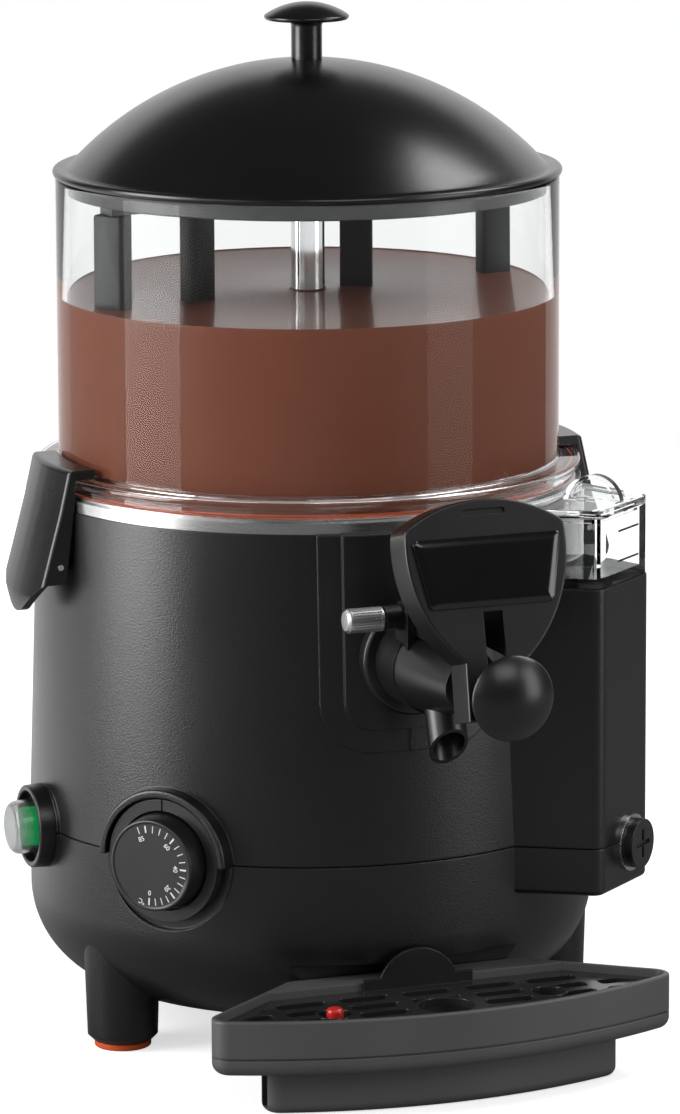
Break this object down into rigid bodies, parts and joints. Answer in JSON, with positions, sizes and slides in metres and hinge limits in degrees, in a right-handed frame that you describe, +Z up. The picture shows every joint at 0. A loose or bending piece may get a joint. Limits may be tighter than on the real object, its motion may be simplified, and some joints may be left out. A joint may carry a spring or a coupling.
{
  "type": "hot chocolate dispenser",
  "caption": "Countertop hot chocolate dispenser with a clear heated bowl, driven mixer, domed lid, lever tap, thermostat dial, side water filler and pull-out drip tray.",
  "frame": {"origin": "on the bowl's upright axis, at the level of the counter the pads stand on", "axes": "+Z up along the bowl's axis, -Y to the front where the tap and the drip tray are, +X to the right as seen from the front"},
  "size_m": [0.2769, 0.3794, 0.4492],
  "materials": {
    "black_plastic": "satin moulded",
    "lid_plastic": "semi-gloss moulded",
    "latch_plastic": "satin moulded",
    "tap_plastic": "satin moulded",
    "plate_plastic": "gloss",
    "tray_plastic": "satin moulded",
    "grid_plastic": "gloss moulded",
    "dial_plastic": "satin moulded",
    "ring_grey": "satin moulded",
    "clear_plastic": "clear, polished",
    "clear_rubber": "clear, flexible",
    "orange_silicone": "matt silicone",
    "black_rubber": "matt",
    "steel": "brushed",
    "bright_steel": "polished",
    "motor_paint": "painted",
    "bush_bronze": "plain",
    "chocolate": "wet, opaque",
    "white_plastic": "moulded",
    "green_plastic": "lit from behind",
    "red_plastic": "moulded"
  },
  "bodies": {
    "base": {"upper_housing": "black_plastic", "lower_housing": "black_plastic", "base_cover": "black_plastic", "base_screws": "bright_steel", "foot_pads": "orange_silicone", "cable_gland": "black_plastic", "water_bath": "steel", "inner_pot": "steel", "outlet_pipe": "steel", "heating_element": "bright_steel", "centre_tube": "bright_steel", "shaft_bushes": "bush_bronze", "motor_bracket": "steel", "gear_motor": "motor_paint", "bowl": "clear_plastic", "flange_seal": "orange_silicone", "pot_seal": "orange_silicone", "latch_pins": "bright_steel", "tap_panel": "black_plastic", "tap_flange": "tap_plastic", "tap_body": "tap_plastic", "spout": "tap_plastic", "shield": "tap_plastic", "shield_plate": "plate_plastic", "dial_ring": "ring_grey", "thermostat": "white_plastic", "switch_collar": "black_plastic", "switch_body": "black_plastic", "switch_boot": "clear_rubber", "filler_tank": "clear_plastic", "drain_valve": "steel"},
    "lid": {"lid": "lid_plastic", "lid_knob": "lid_plastic", "knob_screw": "bright_steel"},
    "mixer": {"drive_shaft": "bright_steel", "mixer_arm": "black_plastic", "mixer_blades": "black_plastic", "mixer_paddle": "black_plastic", "hot_chocolate": "chocolate"},
    "latch_right": {"latch_right": "latch_plastic"},
    "latch_left": {"latch_left": "latch_plastic"},
    "tap_lever": {"lever": "tap_plastic", "lever_knob": "tap_plastic"},
    "tap_piston": {"piston": "white_plastic", "piston_seals": "black_rubber"},
    "thumb_screw": {"thumb_screw": "bright_steel"},
    "dial": {"dial": "dial_plastic", "dial_spindle": "bright_steel"},
    "rocker": {"switch_rocker": "green_plastic"},
    "filler_lid": {"filler_lid": "clear_plastic"},
    "drain_cap": {"drain_cap": "black_plastic"},
    "tray": {"drip_tray": "tray_plastic"},
    "grid": {"drip_grid": "grid_plastic"},
    "float": {"level_float": "red_plastic"}
  },
  "joints": [
    {"name": "lid_lift", "type": "slide", "parent": "base", "child": "lid", "axis": [0, 0, 1], "range_m": [0, 0.15]},
    {"name": "mixer_spin", "type": "hinge", "parent": "base", "child": "mixer", "pos_m": [0, 0, 0.3], "axis": [0, 0, 1], "continuous": true},
    {"name": "latch_right_hinge", "type": "hinge", "parent": "base", "child": "latch_right", "pos_m": [0.12421, 0, 0.2128], "axis": [0, 1, 0], "range_deg": [0, 25]},
    {"name": "latch_left_hinge", "type": "hinge", "parent": "base", "child": "latch_left", "pos_m": [-0.12421, 0, 0.2128], "axis": [0, -1, 0], "range_deg": [0, 25]},
    {"name": "lever_hinge", "type": "hinge", "parent": "base", "child": "tap_lever", "pos_m": [0, -0.148, 0.206], "axis": [-1, 0, 0], "range_deg": [0, 18], "stiffness_Nm_per_rad": 0.8, "springref_deg": -8.59},
    {"name": "piston_slide", "type": "slide", "parent": "base", "child": "tap_piston", "axis": [0, -1, 0], "range_m": [0, 0.0075]},
    {"name": "thumb_screw_turn", "type": "hinge", "parent": "base", "child": "thumb_screw", "pos_m": [-0.03, -0.148, 0.206], "axis": [1, 0, 0], "continuous": true},
    {"name": "dial_turn", "type": "hinge", "parent": "base", "child": "dial", "pos_m": [-0.09692, -0.07989, 0.0934], "axis": [-0.7716, -0.6361, 0], "range_deg": [0, 172]},
    {"name": "rocker_tilt", "type": "hinge", "parent": "base", "child": "rocker", "pos_m": [-0.1286, 0, 0.0934], "axis": [0, 1, 0], "range_deg": [0, 10]},
    {"name": "filler_lid_lift", "type": "slide", "parent": "base", "child": "filler_lid", "axis": [0, 0, 1], "range_m": [0, 0.06]},
    {"name": "drain_cap_turn", "type": "hinge", "parent": "base", "child": "drain_cap", "pos_m": [0.10668, -0.11935, 0.091], "axis": [0.6428, -0.766, 0], "continuous": true},
    {"name": "tray_slide", "type": "slide", "parent": "base", "child": "tray", "axis": [0, -1, 0], "range_m": [0, 0.15]},
    {"name": "grid_lift", "type": "slide", "parent": "tray", "child": "grid", "axis": [0, 0, 1], "range_m": [0, 0.012]},
    {"name": "float_rise", "type": "slide", "parent": "tray", "child": "float", "axis": [0, 0, 1], "range_m": [0, 0.0045]}
  ],
  "couplings": [
    {"joint": "piston_slide", "follows": "lever_hinge", "m_per_rad": 0.023}
  ]
}
